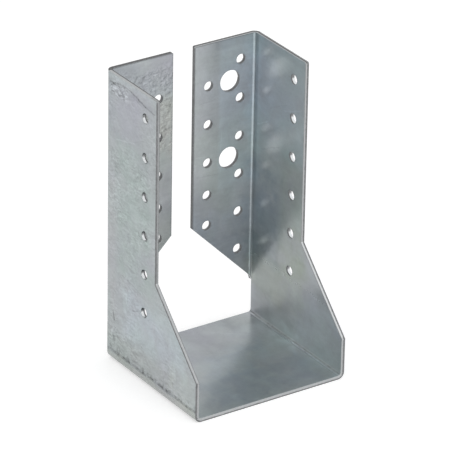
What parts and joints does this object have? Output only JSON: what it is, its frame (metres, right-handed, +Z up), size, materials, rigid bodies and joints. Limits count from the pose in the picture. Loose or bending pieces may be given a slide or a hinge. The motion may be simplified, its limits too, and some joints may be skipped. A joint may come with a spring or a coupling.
{
  "type": "joist hanger",
  "caption": "Folded steel joist hanger: a U-shaped seat with sloping front walls and inward-turned, punched flanges that fix to the face of a header.",
  "frame": {"origin": "middle of the hanger's footprint, on the underside of the seat", "axes": "+Z up along the walls, +Y back to the header beam, +X across the joist; the pocket opens to -Y"},
  "size_m": [0.084, 0.079, 0.15],
  "materials": {
    "galvanised_steel": "hot-dip galvanised, smooth, lightly mottled"
  },
  "bodies": {
    "root": {"hanger": "galvanised_steel"}
  },
  "joints": []
}
